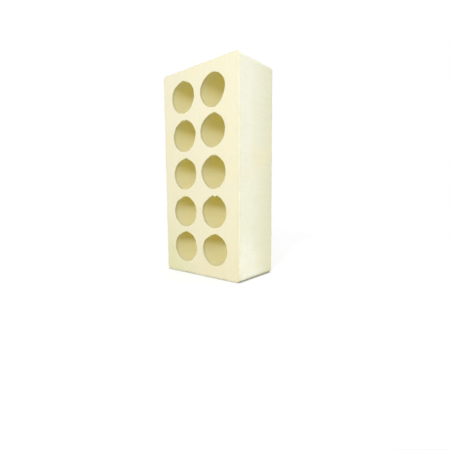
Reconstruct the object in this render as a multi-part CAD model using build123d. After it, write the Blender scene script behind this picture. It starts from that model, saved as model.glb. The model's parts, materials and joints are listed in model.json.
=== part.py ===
from build123d import *
import os

# A fired clay facing brick with ten round core holes, standing on one of its ends.
# The clay leaves a die as a long column and taut wires slice it into bricks. The die gives the
# section, with its rounded corners and its holes, and the wires give the two flat cut faces.
# Millimetres. X is the width, Y the thickness and the way the holes run, Z the length. The origin
# is the middle of the end that the brick stands on. The facing side, laid to show, is at +X.

# Outline of the section
length = 205.0
width = 100.0
corner_radius = 4.0

# Spacing of the cutting wires
thickness = 55.0

# Core holes, in rows along the length and columns across the width, with the clay left between them
hole_diameter = 31.0
web_between_rows = 7.0
web_between_columns = 8.2

# The least clay that may be left between a hole and the outside of the brick
least_outer_wall = 8.0

# The wall behind the facing side is this much thicker than an evenly placed pattern would leave it
facing_wall_extra = 0.8

# Edges that the wires cut, rubbed blunt in drying, firing and stacking
outer_arris_radius = 0.8
hole_rim_chamfer = 0.4


def holes_that_fit(span, web):
    """How many holes have room side by side across a span of clay."""
    return int((span - 2 * least_outer_wall + web) // (hole_diameter + web))


def hole_centres():
    """Places of the core holes in the section, seen from the middle of the brick."""
    columns = holes_that_fit(width, web_between_columns)
    rows = holes_that_fit(length, web_between_rows)
    column_pitch = hole_diameter + web_between_columns
    row_pitch = hole_diameter + web_between_rows
    places = GridLocations(column_pitch, row_pitch, columns, rows)
    return [Pos(-facing_wall_extra, 0) * place for place in places]


def clay_column():
    """The die's section, drawn out for the thickness of one brick."""
    with BuildPart() as column:
        with BuildSketch(Plane.XZ):
            RectangleRounded(width, length, corner_radius)
            with Locations(*hole_centres()):
                Circle(hole_diameter / 2, mode=Mode.SUBTRACT)
        extrude(amount=thickness / 2, both=True)
    return column.part


def blunted(brick):
    """The slice with its outer arrises rounded and the rims of its holes chamfered."""
    cut_faces = brick.faces().filter_by(Axis.Y)
    arrises = [edge for face in cut_faces for edge in face.outer_wire().edges()]
    brick = fillet(arrises, outer_arris_radius)
    cut_faces = brick.faces().filter_by(Axis.Y)
    rims = [edge for face in cut_faces for rim in face.inner_wires() for edge in rim.edges()]
    return chamfer(rims, hole_rim_chamfer)


brick = Pos(0, 0, length / 2) * blunted(clay_column())

os.makedirs("parts", exist_ok=True)
export_step(brick, "parts/brick.step")
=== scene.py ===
import bpy
import json
import math
import numpy as np
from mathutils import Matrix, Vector, noise


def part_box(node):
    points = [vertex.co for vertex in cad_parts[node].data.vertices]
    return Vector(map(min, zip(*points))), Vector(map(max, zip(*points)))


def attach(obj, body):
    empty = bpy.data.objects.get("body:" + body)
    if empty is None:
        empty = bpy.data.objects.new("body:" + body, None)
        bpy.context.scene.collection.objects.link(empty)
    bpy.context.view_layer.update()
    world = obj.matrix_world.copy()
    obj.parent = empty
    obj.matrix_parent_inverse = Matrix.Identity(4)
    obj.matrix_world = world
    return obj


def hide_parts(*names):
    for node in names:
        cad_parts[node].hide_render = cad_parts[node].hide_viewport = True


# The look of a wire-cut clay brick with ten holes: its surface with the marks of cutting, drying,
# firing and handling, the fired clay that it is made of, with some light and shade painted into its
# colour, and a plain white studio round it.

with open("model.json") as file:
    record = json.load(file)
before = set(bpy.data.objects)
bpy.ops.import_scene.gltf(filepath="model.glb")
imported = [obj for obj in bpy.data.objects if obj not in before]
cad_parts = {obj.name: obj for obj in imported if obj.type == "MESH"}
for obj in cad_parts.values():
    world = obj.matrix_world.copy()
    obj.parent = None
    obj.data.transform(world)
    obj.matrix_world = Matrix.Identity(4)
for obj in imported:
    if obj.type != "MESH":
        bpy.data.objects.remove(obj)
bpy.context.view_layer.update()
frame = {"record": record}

MM = 0.001

# Size of the brick and of its holes, from the frame
low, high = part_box("brick")
middle, half = (low + high) / 2, (high - low) / 2
bores = [mount for mount in frame["record"]["mounts"] if mount["kind"] == "bore"]
hole_radius = bores[0]["dims"]["r_mm"] * MM
columns = sorted({mount["pos_m"][0] for mount in bores})
rows = sorted({mount["pos_m"][2] for mount in bores}, reverse=True)
half_web = (rows[0] - rows[1]) / 2 - hole_radius

# Edges of the solid
corner_radius = 4.0 * MM
arris_radius = 0.6 * MM
rim_radius = 0.3 * MM

# How finely the surface is divided, and the distance within which two points are one
side_points = 46
corner_points = 12
face_rings = 9
wall_depths = [0.5 * MM, 1.1 * MM, 2.0 * MM, 3.4 * MM, 6.0 * MM, 12.0 * MM]
side_rings = 22
edge_rings = 4
merge_step = 0.001 * MM

# Marks of drying and firing: how far the clay strays from its true shape
end_rise_front, end_rise_back = 0.6 * MM, 1.7 * MM
hole_stray = 0.2 * MM
rim_stray = 0.35 * MM
face_stray = 0.12 * MM

# Size of the lumps that they stray in: round a rim, in hole radii, and on a face, where the waves
# lie closer together along the length
rim_lump = 1.1
face_wave, face_squeeze = 26 * MM, (1, 1, 1.6)

# Steps through the noise that keep the holes, and the two rims of each, from being alike
hole_step, rim_step = 5.0, 2.5

# Worn arrises and rims: how deep full wear goes, how far from the edge it starts, the share of it
# that is usual, and the size of the patches that are worn more or less
arris_wear = {"depth": 0.2 * MM, "reach": 1.6 * MM, "usual": 0.5, "patch": 9 * MM, "seed": 3}
rim_wear = {"depth": 0.12 * MM, "reach": 1.0 * MM, "usual": 0.4, "patch": 5 * MM, "seed": 4}
uneven_wear, most_wear = 0.9, 1.4

# How far from an arris its worn colour reaches, which is also painted shade that dims the rounded
# edge
worn_and_shaded_reach = 3 * MM

# Painted shade, darker and greyer, just inside the rim of each hole: the side that it is on, along
# X and Z, how much of it there is all round, and how deep it goes
lip_shade_side, lip_shade_all_round, lip_shade_depth = (-0.85, -0.3), 0.1, 4 * MM

# Painted shade on the upper side of each hole, a deeper yellow: the side, how strong it is at the
# rim and how much more far inside, the depths between which that grows, and its strength at the
# foot and the top
roof_side = (0.3, 0.95)
roof_at_rim, roof_inside = 0.48, 0.65
roof_start, roof_deepest = 3 * MM, 20 * MM
roof_at_foot, roof_at_top = 1.3, 0.6

# Where the cut face is yellower: round the lower left corner of the front
yellow_place, yellow_reach = np.array([low.x, low.y, 10 * MM]), 60 * MM

# Painted light from below, paler on the sides: round the foot of the arris at the right of the
# front
foot_light_place, foot_light_reach = np.array([high.x, low.y, 5 * MM]), 48 * MM

# Chips: how many, the least and the largest ball that takes one off, and how deep it goes
arris_chips = {"count": 90, "balls": (1.2 * MM, 3.6 * MM), "depths": (0.25 * MM, 0.6 * MM)}
rim_chips = {"count": 90, "balls": (0.8 * MM, 1.8 * MM), "depths": (0.2 * MM, 0.45 * MM)}
face_pits = {"count": 60, "balls": (3.0 * MM, 7.0 * MM), "depths": (0.15 * MM, 0.35 * MM)}

# Where chips start on a rounded edge: where the surface is turned about halfway from the cut face
edge_slant, slant_range = 0.7, 0.15

# How far from every edge the pits stay
pit_clearance = 3 * MM

# Size of the hollow that a ball leaves, as a share of the ball, and how rough it is
hollow_size, hollow_roughness = 0.95, 0.12

# How often the points moved by tears and chips are eased, how far each time, and the move from
# which a point is eased in full
easing_passes, easing_share, eased_fully = 2, 0.5, 0.2 * MM

# Holes that sit well off their true place: column, row from the top, shift along X and Z
strayed = [(0, 0, -0.8 * MM, 0.1 * MM), (1, 0, -0.1 * MM, -0.5 * MM), (0, 1, 0.3 * MM, -0.1 * MM),
           (1, 1, -0.5 * MM, 0.6 * MM), (0, 2, 0.4 * MM, -0.4 * MM), (0, 3, -0.2 * MM, -0.3 * MM),
           (1, 2, -0.1 * MM, -0.2 * MM), (1, 3, 0.5 * MM, -0.1 * MM), (0, 4, -0.2 * MM, 0.8 * MM),
           (1, 4, 0.8 * MM, 1.0 * MM)]

# How the worn cores leave each column's holes out of round: angle from +X, reach of it, how far out
left_form = [(82, 25, 0.2 * MM), (120, 28, -0.4 * MM), (172, 60, 0.5 * MM),
             (8, 60, 0.45 * MM), (312, 50, 0.3 * MM)]
right_form = [(80, 25, 0.2 * MM), (125, 35, -0.5 * MM), (175, 30, 0.1 * MM),
              (215, 45, -0.3 * MM), (0, 180, -0.2 * MM)]

# Holes with a form of their own: column, row from the top, angle, reach and how far out
own_forms = [(0, 0, 150, 40, 0.5 * MM), (0, 0, 72, 25, -0.4 * MM), (0, 1, 40, 35, -0.5 * MM),
             (0, 1, 112, 22, 0.3 * MM), (0, 2, 118, 22, 0.5 * MM), (0, 3, 115, 30, -0.4 * MM),
             (0, 4, 50, 30, 0.7 * MM), (0, 4, 120, 40, -0.5 * MM), (0, 4, 318, 35, -0.6 * MM),
             (1, 0, 338, 32, -0.7 * MM), (1, 0, 284, 20, 0.8 * MM), (1, 0, 92, 14, -0.5 * MM),
             (1, 1, 78, 15, 0.4 * MM), (1, 2, 300, 40, 0.4 * MM), (1, 2, 215, 35, -0.5 * MM),
             (1, 3, 60, 22, 0.4 * MM)]

# Small tears along every rim: how far they go, how wide they are and how deep they reach inside
tear, tear_width, tear_depth = 0.3 * MM, 1.7 * MM, 2.5 * MM

# Larger tears on rims of the front face: column, row from the top, angle, width, and how far the
# clay hangs in over the hole, or with a minus how far it is gone
front_tears = [(0, 0, 97, 1.5 * MM, -0.4 * MM), (0, 1, 101, 2.0 * MM, -0.8 * MM),
               (0, 2, 82, 1.4 * MM, -1.0 * MM), (0, 3, 101, 1.6 * MM, -0.8 * MM),
               (0, 3, 92, 1.3 * MM, 0.6 * MM), (0, 4, 100, 1.6 * MM, -1.1 * MM),
               (0, 4, 91, 1.3 * MM, 0.5 * MM), (1, 0, 96, 1.6 * MM, -0.5 * MM),
               (1, 1, 82, 1.5 * MM, -1.0 * MM), (1, 2, 99, 1.6 * MM, -0.5 * MM),
               (1, 3, 95, 1.6 * MM, -1.2 * MM), (1, 3, 83, 1.4 * MM, 1.2 * MM),
               (1, 3, 73, 1.6 * MM, -1.0 * MM), (1, 4, 84, 1.4 * MM, 0.7 * MM),
               (1, 4, 76, 1.5 * MM, -0.7 * MM)]

# How much less a distance along a hole counts than one across it, where a tear fades out
tear_squeeze = (1, 0.6, 1)

# Nicks in those rims, with painted shadow in them: column, row from the top, angle and size of the
# ball
front_nicks = [(0, 1, 213, 0.9 * MM), (0, 1, 222, 0.9 * MM), (0, 2, 232, 1.1 * MM),
               (0, 2, 243, 1.2 * MM), (1, 3, 216, 1.1 * MM), (1, 3, 227, 1.2 * MM),
               (0, 3, 206, 1.1 * MM), (1, 4, 214, 0.9 * MM), (0, 0, 200, 0.9 * MM),
               (1, 1, 196, 1.0 * MM), (0, 1, 138, 0.9 * MM), (0, 4, 188, 1.0 * MM)]

# How far off the clay a nick's ball is centred and how far its painted shadow reaches, in sizes of
# the ball
nick_offset, nick_shade = 0.75, 1.5

# Other teeth on the rims of both faces, and the angle that they gather round, with its spread
teeth, tooth_width, tooth_length = 26, (1.2 * MM, 2.4 * MM), (0.2 * MM, 0.6 * MM)
tooth_angle, tooth_spread = 90, 40

# What is left to chance comes out the same each run
chance = np.random.default_rng(5)


def borders(centres, first, last):
    """Lines that part the holes from each other, with the brick's own edges first and last."""
    middles = [(a + b) / 2 for a, b in zip(centres, centres[1:])]
    return [first, *middles, last]


def graded(count):
    """Steps from 0 to 1 that are finer towards both ends."""
    even = np.linspace(0, 1, count + 1)
    return (even + (1 - np.cos(math.pi * even)) / 2) / 2


class Surface:
    """Rows of points joined by quads, each point with its outward direction and kind of surface."""

    def __init__(self):
        self.points, self.normals, self.kinds, self.quads = [], [], [], []

    def add_rows(self, grid, closed):
        """Add rows of one length, each a list of (point, normal, kind), and join them by quads."""
        start, width = len(self.points), len(grid[0])
        for row in grid:
            for point, normal, kind in row:
                self.points.append(point)
                self.normals.append(normal)
                self.kinds.append(kind)
        for i in range(len(grid) - 1):
            for j in range(width if closed else width - 1):
                a, b = start + i * width + j, start + i * width + (j + 1) % width
                self.quads.append((a, b, b + width, a + width))


# Flat part of a cut face, inside its rounded arris
flat_x = (low.x + arris_radius, high.x - arris_radius)
flat_z = (low.z + arris_radius, high.z - arris_radius)
flat_corner = corner_radius - arris_radius


def seen_evenly(start, end, centre, count):
    """Points from start to just before end on a straight line, at even angles seen from centre."""
    (x0, z0), (x1, z1), (cx, cz) = start, end, centre
    angle0 = math.atan2(z0 - cz, x0 - cx)
    turn = (math.atan2(z1 - cz, x1 - cx) - angle0) % (2 * math.pi)
    found = []
    for k in range(count):
        angle = angle0 + turn * k / count
        dx, dz = math.cos(angle), math.sin(angle)
        along = ((x0 - cx) * (z1 - z0) - (z0 - cz) * (x1 - x0)) / (dx * (z1 - z0) - dz * (x1 - x0))
        found.append((cx + dx * along, cz + dz * along))
    return found


def cell_border(x_span, z_span, centre):
    """Border of one hole's share of the cut face, as (x, z, outward direction, None if shared)."""
    (left, right), (foot, top) = x_span, z_span
    corners = [(left, foot), (right, foot), (right, top), (left, top)]
    outwards = [(0, -1), (1, 0), (0, 1), (-1, 0)]
    outer = [foot == flat_z[0], right == flat_x[1], top == flat_z[1], left == flat_x[0]]
    border = []
    for side in range(4):
        start, end = corners[side], corners[(side + 1) % 4]
        step = np.sign(np.subtract(end, start))
        rounded_start = outer[side] and outer[side - 1]
        rounded_end = outer[side] and outer[(side + 1) % 4]
        if rounded_start:
            start = tuple(np.add(start, step * flat_corner))
        if rounded_end:
            end = tuple(np.subtract(end, step * flat_corner))
        direction = outwards[side] if outer[side] else None
        border += [(x, z, direction) for x, z in seen_evenly(start, end, centre, side_points)]
        if rounded_end:
            pivot = np.subtract(end, np.multiply(outwards[side], flat_corner))
            straight_out = math.atan2(outwards[side][1], outwards[side][0])
            for k in range(corner_points):
                angle = straight_out + math.pi / 2 * k / corner_points
                facing = (math.cos(angle), math.sin(angle))
                border.append((*(pivot + np.multiply(facing, flat_corner)), facing))
    return border


def row_of_points(bases, directions, outs, y, turn, kind):
    """Points moved out from their bases, on a surface at an angle, turn, from the cut face."""
    lean = math.sin(turn)
    return [((x + dx * out, y, z + dz * out), (dx * lean, -math.cos(turn), dz * lean), kind)
            for (x, z), (dx, dz), out in zip(bases, directions, outs)]


def hole_rows(border, centre):
    """Rows from the front face's border to the rim, down the hole and out to the back border.

    The wall of a hole faces its axis, so inwards is out, and a radius counts as minus.
    """
    cx, cz = centre
    reaches = [math.hypot(x - cx, z - cz) for x, z, _ in border]
    inwards = [((cx - x) / reach, (cz - z) / reach) for (x, z, _), reach in zip(border, reaches)]
    centres = [centre] * len(border)
    rim = hole_radius + rim_radius
    front = []
    for share in graded(face_rings):
        outs = [-reach - (rim - reach) * share for reach in reaches]
        front.append(row_of_points(centres, inwards, outs, low.y, 0, "cut"))
    for k in range(1, edge_rings + 1):
        turn = math.pi / 2 * k / edge_rings
        outs = [rim_radius * math.sin(turn) - rim] * len(border)
        y = low.y + rim_radius * (1 - math.cos(turn))
        front.append(row_of_points(centres, inwards, outs, y, turn, "core"))
    for depth in wall_depths:
        outs = [-hole_radius] * len(border)
        front.append(row_of_points(centres, inwards, outs, low.y + depth, math.pi / 2, "core"))
    return front + mirrored(front)


def mirrored(grid):
    """The same rows on the back half of the brick, in the order that continues from the front."""
    flipped = [[((p[0], 2 * middle.y - p[1], p[2]), (n[0], -n[1], n[2]), kind)
                for p, n, kind in row] for row in grid]
    return flipped[::-1]


def side_rows(run):
    """Rows from the back to the front of a run of border points that lie on the brick's outline."""
    bases, outwards = [(x, z) for x, z, _ in run], [outward for _, _, outward in run]
    front = []
    for k in range(edge_rings + 1):
        turn = math.pi / 2 * k / edge_rings
        outs = [arris_radius * math.sin(turn)] * len(run)
        y = low.y + arris_radius * (1 - math.cos(turn))
        front.append(row_of_points(bases, outwards, outs, y, turn, "cut" if k == 0 else "skin"))
    wall = []
    for share in graded(side_rings)[1:-1]:
        outs = [arris_radius] * len(run)
        y = (low.y + arris_radius) * (1 - share) + (high.y - arris_radius) * share
        wall.append(row_of_points(bases, outwards, outs, y, math.pi / 2, "skin"))
    return (front + wall + mirrored(front))[::-1]


def outer_runs(border):
    """Stretches of the border that lie on the outline, each with the point that closes it."""
    count = len(border)
    runs = []
    for k in range(count):
        (x, z, facing), (next_x, next_z, next_facing) = border[k], border[(k + 1) % count]
        if facing is not None:
            runs.append([(x, z, facing), (next_x, next_z, next_facing or facing)])
    return runs


def brick_surface():
    """The whole closed surface of the brick, hole by hole, with its like points merged."""
    surface = Surface()
    x_lines = borders(columns, *flat_x)
    z_lines = borders(rows, *flat_z[::-1])
    for i, cx in enumerate(columns):
        for j, cz in enumerate(rows):
            x_span, z_span = (x_lines[i], x_lines[i + 1]), (z_lines[j + 1], z_lines[j])
            border = cell_border(x_span, z_span, (cx, cz))
            surface.add_rows(hole_rows(border, (cx, cz)), closed=True)
            for run in outer_runs(border):
                surface.add_rows(side_rows(run), closed=False)
    points = np.array(surface.points)
    grid = np.round(points / merge_step).astype(np.int64)
    _, first, inverse = np.unique(grid, axis=0, return_index=True, return_inverse=True)
    normals, kinds = np.array(surface.normals)[first], np.array(surface.kinds)[first]
    return points[first], normals, kinds, inverse.reshape(-1)[np.array(surface.quads)]


points, normals, kinds, quads = brick_surface()
in_hole = kinds == "core"
hole_centres = np.array([(x, z) for x in columns for z in rows])


def hole_number(column, row):
    """Place of a hole in the list of their centres."""
    return column * len(rows) + row


def lumps(places, size, seed, octaves=3):
    """Noise of about -1 to 1 at each place, in lumps of a size, each octave twice as fine."""
    shift = Vector((31.7, -17.3, 11.9)) * seed
    return np.array([noise.fractal(Vector(place) / size + shift, 1.0, 2.0, octaves)
                     for place in places])


def fading(distance, reach):
    """From 1 at no distance down to 0 at reach, with no kink at either end."""
    share = np.clip(1 - distance / reach, 0, 1)
    return share * share * (3 - 2 * share)


def distance_from(place):
    """How far each point is from a place."""
    return np.linalg.norm(points - place, axis=1)


def nearest_holes():
    """The number of each point's nearest hole, how far its axis is, and the direction from it."""
    offsets = points[:, None, ::2] - hole_centres
    distances = np.linalg.norm(offsets, axis=2)
    nearest = distances.argmin(axis=1)
    every = np.arange(len(points))
    distance = distances[every, nearest]
    return nearest, distance, offsets[every, nearest] / distance[:, None]


def depth_from_cut():
    """How far each point lies behind the nearer cut face."""
    return np.minimum(points[:, 1] - low.y, high.y - points[:, 1])


def depth_from_outline():
    """How far each point lies inside the rounded outline of the section."""
    past_x = np.abs(points[:, 0] - middle.x) - half.x + corner_radius
    past_z = np.abs(points[:, 2] - middle.z) - half.z + corner_radius
    outside = np.hypot(np.maximum(past_x, 0), np.maximum(past_z, 0))
    return corner_radius - outside - np.minimum(np.maximum(past_x, past_z), 0)


nearest, from_axis, away = nearest_holes()
arris_distance = np.hypot(depth_from_cut(), depth_from_outline())
rim_distance = np.hypot(depth_from_cut(), from_axis - hole_radius)
on_floor = normals[:, 2] < -0.99


def rough_faces():
    """Slight waves on the cut faces and the die-formed sides; the end it stands on stays flat."""
    waves = face_stray * lumps(points * face_squeeze, face_wave, 1)
    waves[on_floor] = 0
    return normals * np.where(in_hole, 0, waves)[:, None]


def out_of_round(form):
    """How far out of its circle each point of a hole lies, from angles, reaches and rises."""
    angles = np.degrees(np.arctan2(away[:, 1], away[:, 0]))
    return sum(out * fading(np.abs((angles - angle + 180) % 360 - 180), reach)
               for angle, reach, out in form)


def strayed_holes():
    """Holes a little off their places and out of round, from cores that swing in the die."""
    shifts = chance.uniform(-hole_stray, hole_stray, (len(hole_centres), 2))
    for column, row, along_x, along_z in strayed:
        shifts[hole_number(column, row)] = along_x, along_z
    around = np.column_stack([away[:, 0], nearest * hole_step, away[:, 1]])
    swelling = rim_stray * lumps(around, rim_lump, 2, octaves=2)
    swelling += np.where(nearest < len(rows), out_of_round(left_form), out_of_round(right_form))
    for column, row, *form in own_forms:
        swelling += np.where(nearest == hole_number(column, row), out_of_round([form]), 0)
    around[:, 1] += np.where(points[:, 1] > middle.y, rim_step, 0)
    torn = lumps(around, tear_width / hole_radius, 9, octaves=1)
    swelling += tear * torn * fading(depth_from_cut(), tear_depth)
    share = fading(from_axis - hole_radius, half_web)
    moved = (shifts[nearest] + away * swelling[:, None]) * share[:, None]
    return np.column_stack([moved[:, 0], np.zeros(len(points)), moved[:, 1]])


def rubbed(distance, depth, reach, usual, patch, seed):
    """How deep the clay is rubbed off near an edge, by an uneven share of the full depth."""
    share = usual + uneven_wear * lumps(points, patch, seed)
    return depth * np.clip(share, 0, most_wear) * fading(distance, reach)


def worn_edges():
    """Arrises and rims rubbed back."""
    wear = rubbed(arris_distance, **arris_wear) + rubbed(rim_distance, **rim_wear)
    return -normals * wear[:, None]


def rim_place(column, row, angle, y):
    """The point of a rim at an angle in degrees from +X, and the direction from the axis to it."""
    turn = math.radians(angle)
    out = np.array([math.cos(turn), 0, math.sin(turn)])
    return np.array([columns[column], y, rows[row]]) + out * hole_radius, out


def tear_rim(place, out, width, length):
    """Draw the rim in over the hole at a place, as a torn tooth of clay, or out if clay is gone."""
    across = np.linalg.norm((points - place) * tear_squeeze, axis=1)
    points[:] -= out * (length * fading(across, width))[:, None]


def scoop(centre, ball, seed):
    """Push the clay out of a rough ball, as a knock that takes off a chip does."""
    offsets = points - centre
    distances = np.linalg.norm(offsets, axis=1)
    inside = np.flatnonzero(distances < ball)
    hollow = ball * (hollow_size + hollow_roughness * lumps(points[inside], ball / 2, seed))
    reach = np.maximum(distances[inside], hollow)
    points[inside] = centre + offsets[inside] * (reach / distances[inside])[:, None]


def knock(where, count, balls, depths):
    """Take chips off at random points, most of them small, each by a ball that dips in a little."""
    for index in chance.choice(np.flatnonzero(where), count, replace=False):
        share = chance.random() ** 2
        ball = balls[0] + (balls[1] - balls[0]) * share
        depth = depths[0] + (depths[1] - depths[0]) * share
        scoop(points[index] + normals[index] * (ball - depth), ball, index)


def ease(share):
    """Draw each point by a share towards the middle of its neighbours, so that nothing folds."""
    pairs = np.vstack([quads[:, [0, 1]], quads[:, [1, 2]], quads[:, [2, 3]], quads[:, [3, 0]]])
    sums = np.zeros_like(points)
    np.add.at(sums, pairs[:, 0], points[pairs[:, 1]])
    np.add.at(sums, pairs[:, 1], points[pairs[:, 0]])
    counts = np.bincount(pairs.ravel(), minlength=len(points))
    points[:] += share[:, None] * (sums / counts[:, None] - points)


# The marks go on one after another, because each starts from the shape that the last one left
points += rough_faces()
points += strayed_holes()
points += worn_edges()
unharmed = points.copy()

# Torn rims, and nicks with painted shadow
for column, row, angle, width, length in front_tears:
    tear_rim(*rim_place(column, row, angle, low.y), width, length)
for _ in range(teeth):
    column, row = chance.integers(len(columns)), chance.integers(len(rows))
    angle, face = chance.normal(tooth_angle, tooth_spread), chance.choice([low.y, high.y])
    place, out = rim_place(column, row, angle, face)
    tear_rim(place, out, chance.uniform(*tooth_width), chance.uniform(*tooth_length))
nick_shadow = np.zeros(len(points))
for column, row, angle, ball in front_nicks:
    place, out = rim_place(column, row, angle, low.y)
    shade = fading(distance_from(place), nick_shade * ball)
    nick_shadow = np.maximum(nick_shadow, np.where(in_hole, shade, 0))
    scoop(place - nick_offset * out * ball, ball, angle)

# Chips on the arrises and the rims, and shallow pits on the open faces
slanting = np.abs(np.abs(normals[:, 1]) - edge_slant) < slant_range
knock(slanting & (kinds == "skin"), **arris_chips)
knock(slanting & in_hole, **rim_chips)
clear = (arris_distance > pit_clearance) & (rim_distance > pit_clearance)
knock(clear & ~in_hole & ~on_floor, **face_pits)

harm = np.linalg.norm(points - unharmed, axis=1)
for _ in range(easing_passes):
    ease(easing_share * np.clip(harm / eased_fully, 0, 1))

# The brick is a little longer than its nominal size, and more so towards the back
to_back = (points[:, 1] - low.y) / (high.y - low.y)
end_rise = end_rise_front + (end_rise_back - end_rise_front) * to_back
points[:, 2] += end_rise * (points[:, 2] - low.z) / (high.z - low.z)

mesh = bpy.data.meshes.new("brick_clay")
mesh.from_pydata(points.tolist(), [], quads.tolist())
mesh.validate()
mesh.shade_smooth()


def paint(name, values):
    """Keep one number for each point of the mesh, for the material to read."""
    mesh.attributes.new(name, "FLOAT", "POINT").data.foreach_set("value", values.astype(np.float32))


def turned(side):
    """How far the wall of a hole is turned from the axis towards a side, given along X and Z."""
    return side[0] * away[:, 0] + side[1] * away[:, 1]


def roof_shade_share():
    """Painted shade, a deeper yellow, on each point of a hole: more at its top, far inside and
    lower down.
    """
    inside = np.clip((depth_from_cut() - roof_start) / (roof_deepest - roof_start), 0, 1)
    above_middle = np.clip(2 * away[:, 1], 0, 1)
    share = roof_at_rim * np.clip(turned(roof_side), 0, 1) + roof_inside * inside * above_middle
    at_height = roof_at_foot + (roof_at_top - roof_at_foot) * points[:, 2] / high.z
    return np.where(in_hole, np.clip(share * at_height, 0, 1), 0)


def lip_shade_share():
    """How much painted shade each point of a hole has: more at its lower left and near the cut
    face.
    """
    share = np.clip(lip_shade_all_round + turned(lip_shade_side), 0, 1)
    return np.where(in_hole, share * fading(depth_from_cut(), lip_shade_depth), 0)


paint("cut", (kinds == "cut").astype(float))
paint("core", in_hole.astype(float))
# Painted shade at the top of the holes
paint("roof_shade", roof_shade_share())
# Painted shade just inside the rims of the holes, at their lower left
paint("lip_shade", lip_shade_share())
# Painted shadow in the nicks
paint("nick_shadow", nick_shadow)
paint("yellow", fading(distance_from(yellow_place), yellow_reach))
# Painted light from below at the foot of the sides
paint("foot_light", fading(distance_from(foot_light_place), foot_light_reach))
# Worn arrises, darker also as painted shade on the rounded edges
paint("worn_and_shaded", fading(arris_distance, worn_and_shaded_reach))
# Painted shade: the long sides darker towards the back
paint("back", np.clip(to_back, 0, 1))

brick = bpy.data.objects.new("brick_clay", mesh)
bpy.context.scene.collection.objects.link(brick)


class Shader:
    """The nodes of a material or world, with one short call that adds one and gives its output."""

    def __init__(self, owner, surface):
        owner.use_nodes = True
        self.tree = owner.node_tree
        self.surface = self.tree.nodes[surface]

    def add(self, kind, output, inputs, **settings):
        """Add a node, set or join its inputs, and give the output of that name."""
        node = self.tree.nodes.new("ShaderNode" + kind)
        for name, value in settings.items():
            setattr(node, name, value)
        for name, value in inputs.items():
            self.put(node, name, value)
        return node.outputs[output]

    def put(self, node, name, value):
        """Set an input of a node to a value, or join it to another node's output."""
        if isinstance(value, bpy.types.NodeSocket):
            self.tree.links.new(value, node.inputs[name])
        else:
            node.inputs[name].default_value = value

    def painted(self, name):
        """A number that was painted on the mesh."""
        return self.add("Attribute", "Fac", {}, attribute_name=name)

    def grain(self, where, size, detail=3.0, stretch=(1, 1, 1)):
        """Noise of 0 to 1 with grains of a size, drawn out along an axis whose stretch is small."""
        drawn = self.add("VectorMath", "Vector", {0: where, 1: stretch}, operation="MULTIPLY")
        return self.add("TexNoise", "Fac", {"Vector": drawn, "Scale": 1 / size, "Detail": detail})

    def between(self, value, start, end, low_value=0.0, high_value=1.0):
        """Map a value from start to end onto low_value to high_value, held at the ends."""
        return self.add("MapRange", "Result", {"Value": value, "From Min": start, "From Max": end,
                                               "To Min": low_value, "To Max": high_value})

    def blend(self, share, first, second, kind="MIX"):
        """Mix two colours by a share."""
        inputs = {"Fac": share, "Color1": first, "Color2": second}
        return self.add("MixRGB", "Color", inputs, blend_type=kind)

    def times(self, first, second):
        """Multiply two numbers."""
        return self.add("Math", "Value", {0: first, 1: second}, operation="MULTIPLY")

    def bump(self, height, depth, under=None):
        """Bump of a depth in metres, on top of another one."""
        inputs = {"Height": height, "Distance": depth, "Strength": 1.0}
        if under is not None:
            inputs["Normal"] = under
        return self.add("Bump", "Normal", inputs)


# Colours of the clay, with painted light and shade among them, as linear red, green and blue
cut_colour = (0.86, 0.817, 0.618, 1)
skin_colour = (0.86, 0.86, 0.73, 1)
# Painted shade: the long sides darker towards the back
back_shade_colour = (0.745, 0.74, 0.545, 1)
core_colour = (0.885, 0.83, 0.52, 1)
# Painted shade on the upper side of the holes
roof_shade_colour = (0.865, 0.745, 0.13, 1)
# Painted shade just inside the rims of the holes
lip_shade_colour = (0.66, 0.62, 0.40, 1)
# Painted shadow in the nicks
nick_shadow_colour = (0.38, 0.31, 0.17, 1)
warm_colour = (0.88, 0.79, 0.53, 1)
grey_colour = (0.80, 0.79, 0.64, 1)
# Worn edges, darker also as painted shade that dims the light on the rounded arrises
worn_and_shaded_colour = (0.79, 0.77, 0.58, 1)
yellow_colour = (0.80, 0.785, 0.52, 1)
# Painted light from below at the foot of the sides
foot_light_colour = (0.97, 1.0, 0.99, 1)
iron_colour = (0.42, 0.27, 0.11, 1)
lime_colour = (0.94, 0.93, 0.86, 1)

# How strongly the clouds, the patches, the sand, the lines of the wires and the die, and the brown
# and white specks show
cloud_share, patch_share, sand_share, lines_share = 0.55, 0.45, 0.10, 0.06
iron_share, lime_share = 0.35, 0.6

# Spacing of the specks and of the pores, and how deep the fine relief is
speck_cell, pore_cell = 2.6 * MM, 1.7 * MM
lines_depth, sand_depth, pore_depth = 0.07 * MM, 0.12 * MM, 0.06 * MM

# Roughness of the clay, least and most
least_rough, most_rough = 0.80, 0.96


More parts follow.
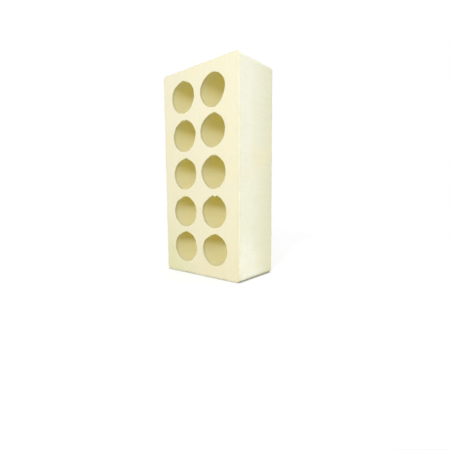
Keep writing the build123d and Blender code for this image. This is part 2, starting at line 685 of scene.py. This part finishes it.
def clay_colour(clay, clouds, patches):
    """Colour of the long sides, cut faces and holes, with clouds, patches, worn edges and painted
    light and shade.
    """
    # Painted shade: the long sides darker towards the back
    skin = clay.blend(clay.between(clay.painted("back"), 0.3, 1.05), skin_colour, back_shade_colour)
    # Painted light from below, paler at the foot of the sides
    skin = clay.blend(clay.painted("foot_light"), skin, foot_light_colour)
    face = clay.blend(clay.painted("yellow"), cut_colour, yellow_colour)
    colour = clay.blend(clay.painted("cut"), skin, face)
    colour = clay.blend(clay.between(clouds, 0.50, 0.72, 0, cloud_share), colour, warm_colour)
    colour = clay.blend(clay.between(patches, 0.52, 0.75, 0, patch_share), colour, grey_colour)
    # Painted shade: a deeper yellow at the top of the holes
    bore = clay.blend(clay.painted("roof_shade"), core_colour, roof_shade_colour)
    # Painted shade: a darker, greyer band inside the rims at their lower left
    bore = clay.blend(clay.painted("lip_shade"), bore, lip_shade_colour)
    colour = clay.blend(clay.painted("core"), colour, bore)
    # Worn edges, and painted shade that dims the rounded arrises
    worn_and_shaded = clay.times(clay.painted("worn_and_shaded"), clay.between(patches, 0.35, 0.6, 0.4, 1.0))
    return clay.blend(worn_and_shaded, colour, worn_and_shaded_colour)


def specked(clay, where, colour):
    """The colour with small brown specks of iron and white ones of lime, one to a cell at most."""
    cells = clay.add("TexVoronoi", "Color", {"Vector": where, "Scale": 1 / speck_cell})
    spot = clay.add("TexVoronoi", "Distance", {"Vector": where, "Scale": 1 / speck_cell})
    pick_iron = clay.add("SeparateColor", "Red", {"Color": cells})
    pick_lime = clay.add("SeparateColor", "Green", {"Color": cells})
    dot = clay.between(spot, 0.10, 0.20, 1, 0)
    iron = clay.times(dot, clay.between(pick_iron, 0.90, 0.93))
    lime = clay.times(dot, clay.between(pick_lime, 0.93, 0.95))
    colour = clay.blend(clay.times(iron, iron_share), colour, iron_colour)
    return clay.blend(clay.times(lime, lime_share), colour, lime_colour)


def fired_clay():
    """Pale yellow brick clay: cloudy, finely sandy, with brown and white specks, worn edges and
    painted light and shade.
    """
    material = bpy.data.materials.new("fired_clay")
    clay = Shader(material, "Principled BSDF")
    where = clay.add("TexCoord", "Object", {})

    clouds = clay.grain(where, 45 * MM, 4.0)
    patches = clay.grain(where, 9 * MM, 5.0)
    sand = clay.grain(where, 0.9 * MM)
    drag = clay.grain(where, 1.3 * MM, stretch=(1, 1, 0.035))
    streaks = clay.grain(where, 1.6 * MM, stretch=(1, 0.03, 1))
    lines = clay.blend(clay.painted("cut"), streaks, drag)

    colour = clay_colour(clay, clouds, patches)
    colour = clay.blend(sand_share, colour, clay.between(sand, 0.3, 0.7), "OVERLAY")
    colour = clay.blend(lines_share, colour, clay.between(lines, 0.3, 0.7), "OVERLAY")
    colour = specked(clay, where, colour)
    # Painted shadow in the nicks
    colour = clay.blend(clay.painted("nick_shadow"), colour, nick_shadow_colour)
    clay.put(clay.surface, "Base Color", colour)

    roughness = clay.between(patches, 0.3, 0.7, least_rough, most_rough)
    clay.put(clay.surface, "Roughness", roughness)
    clay.put(clay.surface, "Specular IOR Level", 0.3)

    pores = clay.add("TexVoronoi", "Distance", {"Vector": where, "Scale": 1 / pore_cell})
    normal = clay.bump(lines, lines_depth)
    normal = clay.bump(sand, sand_depth, normal)
    normal = clay.bump(clay.between(pores, 0.05, 0.22), pore_depth, normal)
    clay.put(clay.surface, "Normal", normal)
    return material


mesh.materials.append(fired_clay())
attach(brick, "root")
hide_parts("brick")

# Studio: a white floor that fades out into a white surround, two lamps, and a soft glow from behind
floor_half = 1.6
floor_fade = (0.1, 0.5)
contact_reach = 3 * MM
floor_seen, floor_glow, floor_light = (0.4, 0.4, 0.4, 1), 0.6, (0.39, 0.37, 0.20, 1)
surround_seen = 1.0
glow_from = Vector((-0.4, 0.65, 0.65))
glow_least, glow_most = 0.36, 1.2
white = (1, 1, 1, 1)


def white_paper():
    """White that shows brighter than the light it gives, with a painted contact shadow where
    something stands on it.
    """
    material = bpy.data.materials.new("white_paper")
    paper = Shader(material, "Principled BSDF")
    is_seen = paper.add("LightPath", "Is Camera Ray", {})
    in_open = paper.add("AmbientOcclusion", "AO", {"Distance": contact_reach})
    where = paper.add("TexCoord", "Object", {})
    from_middle = paper.add("VectorMath", "Value", {0: where}, operation="LENGTH")
    paper.put(paper.surface, "Base Color", paper.blend(is_seen, floor_light, floor_seen))
    paper.put(paper.surface, "Emission Color", white)
    # Painted contact shadow: the glow that the camera sees is dimmed by occlusion near the brick
    glow = paper.times(paper.times(is_seen, floor_glow), in_open)
    paper.put(paper.surface, "Emission Strength", glow)
    paper.put(paper.surface, "Roughness", 1.0)
    paper.put(paper.surface, "Alpha", paper.between(from_middle, *floor_fade, 1, 0))
    return material


def lay_floor():
    """A flat square under the brick, which is part of the studio and not of the object."""
    corners = [(x * floor_half, y * floor_half, 0) for x, y in ((-1, -1), (1, -1), (1, 1), (-1, 1))]
    floor_mesh = bpy.data.meshes.new("floor")
    floor_mesh.from_pydata(corners, [], [(0, 1, 2, 3)])
    floor_mesh.materials.append(white_paper())
    floor = bpy.data.objects.new("floor", floor_mesh)
    bpy.context.scene.collection.objects.link(floor)


def surround():
    """A plain white backdrop all round, which gives less light than it shows, most from behind."""
    world = bpy.data.worlds.new("studio")
    sky = Shader(world, "Background")
    place = sky.add("TexCoord", "Generated", {})
    towards = sky.add("VectorMath", "Value", {0: place, 1: glow_from}, operation="DOT_PRODUCT")
    glow = sky.between(towards, 0, 1, glow_least, glow_most)
    is_seen = sky.add("LightPath", "Is Camera Ray", {})
    strength = sky.add("Mix", "Result", {"Factor": is_seen, "A": glow, "B": surround_seen})
    sky.put(sky.surface, "Color", white)
    sky.put(sky.surface, "Strength", strength)
    bpy.context.scene.world = world


def soft_light(name, azimuth, elevation, distance, size, brightness):
    """A square light aimed at the brick, azimuth 0 in front, that makes white paper this bright."""
    a, e = math.radians(azimuth), math.radians(elevation)
    out = Vector((math.sin(a) * math.cos(e), -math.cos(a) * math.cos(e), math.sin(e)))
    data = bpy.data.lights.new(name, "AREA")
    data.size, data.energy = size, brightness * (math.pi * distance) ** 2
    lamp = bpy.data.objects.new(name, data)
    lamp.location = middle + out * distance
    lamp.rotation_euler = out.to_track_quat("Z", "Y").to_euler()
    bpy.context.scene.collection.objects.link(lamp)


lay_floor()
surround()
soft_light("key", azimuth=21, elevation=19, distance=1.0, size=0.16, brightness=0.70)
soft_light("side", azimuth=98, elevation=8, distance=1.0, size=0.3, brightness=0.335)

# Camera, where the perspective of the brick in the photograph puts it
camera_data = bpy.data.cameras.new("camera")
camera_data.lens = 25.21
camera = bpy.data.objects.new("camera", camera_data)
camera.location = (220.8 * MM, -252.9 * MM, 80.6 * MM)
camera.rotation_euler = [math.radians(angle) for angle in (84.63, 0.47, 39.77)]
bpy.context.scene.collection.objects.link(camera)
bpy.context.scene.camera = camera
bpy.context.scene.view_settings.view_transform = "Standard"
